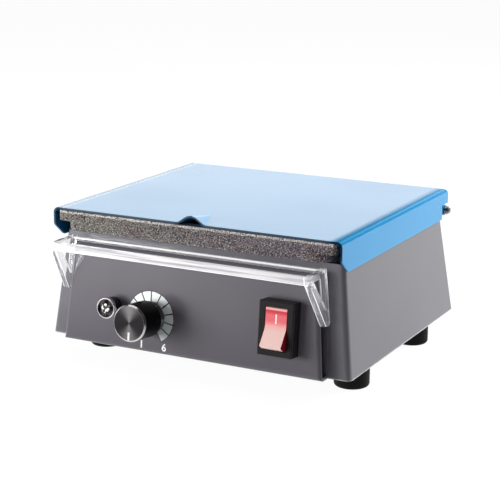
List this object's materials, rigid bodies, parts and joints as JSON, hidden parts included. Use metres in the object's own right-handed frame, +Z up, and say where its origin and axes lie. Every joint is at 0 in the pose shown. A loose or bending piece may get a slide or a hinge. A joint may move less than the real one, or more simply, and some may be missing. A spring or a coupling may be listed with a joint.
{
  "type": "dental laboratory wax heater",
  "caption": "Bench wax heater: a tapered grey housing carries a cast aluminium block with wax wells under a hinged blue lid, with a thermostat knob, lamp, rocker switch and clear tool rest.",
  "frame": {"origin": "middle of the footprint, from the tip of the knob to the back of the hinge knuckles, on the surface that the feet stand on", "axes": "+Z up; the control panel faces -Y; +X is to the right of someone who faces the panel"},
  "size_m": [0.1738, 0.1753, 0.0872],
  "materials": {
    "gasket_fibre": "woven heat-proof gasket",
    "zinc_steel": "zinc plated",
    "plate_paint": "black enamel",
    "capillary_copper": "copper",
    "tab_brass": "tinned brass tab",
    "sheet_steel": "bright sheet",
    "foot_rubber": "black moulded rubber",
    "panel_paint": "grey gloss enamel",
    "cast_aluminium": "as-cast, warm grey, with machined rim",
    "mica_grey": "mica laminate",
    "hinge_steel": "plain steel",
    "lid_paint": "light blue gloss enamel",
    "housing_paint": "grey gloss enamel",
    "inlet_black": "black moulded",
    "fibre_white": "ceramic fibre board",
    "knob_black": "black moulded",
    "knob_aluminium": "spun, clear lacquered",
    "pointer_white": "white filled line",
    "lamp_black": "black moulded",
    "lamp_lens": "dark faceted lens, unlit",
    "lamp_chrome": "chrome plated",
    "rocker_red": "translucent red",
    "switch_black": "black moulded",
    "block_ceramic": "white steatite",
    "thermostat_housing": "phenolic moulding",
    "clear_acrylic": "clear, polished edges"
  },
  "bodies": {
    "base": {"block_gasket": "gasket_fibre", "block_screws": "zinc_steel", "bottom_plate": "plate_paint", "bracket_nuts": "zinc_steel", "bracket_screws": "zinc_steel", "capillary_tube": "capillary_copper", "clamp_screws": "zinc_steel", "cutout_screws": "zinc_steel", "cutout_terminals": "tab_brass", "earth_nut": "tab_brass", "earth_stud": "tab_brass", "element_clamp": "sheet_steel", "element_tabs": "tab_brass", "foot_front_left": "foot_rubber", "foot_front_right": "foot_rubber", "foot_nuts": "zinc_steel", "foot_rear_left": "foot_rubber", "foot_rear_right": "foot_rubber", "foot_screws": "zinc_steel", "front_panel": "panel_paint", "heat_shield": "sheet_steel", "heater_block": "cast_aluminium", "heating_element": "mica_grey", "hinge_brackets": "hinge_steel", "hinge_caps": "zinc_steel", "hinge_rod": "hinge_steel", "housing_shell": "housing_paint", "inlet_body": "inlet_black", "inlet_nuts": "zinc_steel", "inlet_pins": "zinc_steel", "inlet_screws": "zinc_steel", "insulation_pad": "fibre_white", "panel_screws": "zinc_steel", "pillar_screws": "zinc_steel", "pilot_lamp_body": "lamp_black", "pilot_lamp_lens": "lamp_lens", "pilot_lamp_nut": "zinc_steel", "pilot_lamp_ring": "lamp_chrome", "pilot_lamp_terminals": "tab_brass", "shield_pillars": "zinc_steel", "switch_body": "switch_black", "switch_terminals": "tab_brass", "terminal_block": "block_ceramic", "terminal_screws": "tab_brass", "thermal_cutout": "block_ceramic", "thermostat_body": "thermostat_housing", "thermostat_bulb": "capillary_copper", "thermostat_nut": "zinc_steel", "thermostat_terminals": "tab_brass", "thermostat_washer": "zinc_steel"},
    "lid": {"lid": "lid_paint", "hinge_leaves": "lid_paint", "leaf_rivets": "zinc_steel"},
    "knob": {"knob": "knob_black", "knob_cap": "knob_aluminium", "knob_pointer": "pointer_white", "knob_set_screw": "zinc_steel", "thermostat_shaft": "zinc_steel"},
    "rocker": {"rocker": "rocker_red"},
    "rest": {"tool_rest": "clear_acrylic"}
  },
  "joints": [
    {"name": "lid_hinge", "type": "hinge", "parent": "base", "child": "lid", "pos_m": [0, 0.08471, 0.07], "axis": [-1, 0, 0], "range_deg": [0, 105]},
    {"name": "knob_turn", "type": "hinge", "parent": "base", "child": "knob", "pos_m": [-0.0223, -0.06615, 0.0322], "axis": [0, 0.9946, -0.1037], "range_deg": [0, 330]},
    {"name": "power_rocker", "type": "hinge", "parent": "base", "child": "rocker", "pos_m": [0.0523, -0.07114, 0.03835], "axis": [1, 0, 0], "range_deg": [0, 32]},
    {"name": "rest_slide", "type": "slide", "parent": "base", "child": "rest", "axis": [0, -1, 0], "range_m": [0, 0.05]}
  ]
}
